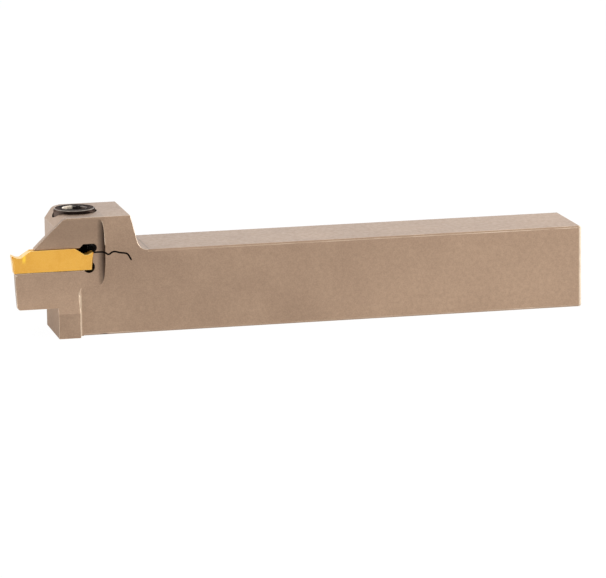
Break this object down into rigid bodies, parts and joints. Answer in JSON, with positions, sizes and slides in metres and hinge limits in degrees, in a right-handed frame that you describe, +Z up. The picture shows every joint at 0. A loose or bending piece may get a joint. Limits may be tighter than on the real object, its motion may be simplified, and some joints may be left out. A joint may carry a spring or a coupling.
{
  "type": "face grooving tool holder",
  "caption": "Square shank turning tool holder with a raised head, a thin curved blade and a clamped double-ended grooving insert for cutting grooves in the face of a workpiece.",
  "frame": {"origin": "middle of the straight shank's underside", "axes": "+X along the shank from the cutting edge towards the rear end, +Y across the shank away from the concave side, +Z up"},
  "size_m": [0.14, 0.0224, 0.0293],
  "materials": {
    "holder_coating": "satin bronze-toned coating",
    "insert_coating": "satin gold-toned hard coating",
    "screw_steel": "black oxide"
  },
  "bodies": {
    "root": {"holder_body": "holder_coating", "grooving_insert": "insert_coating", "clamp_screw": "screw_steel"}
  },
  "joints": []
}
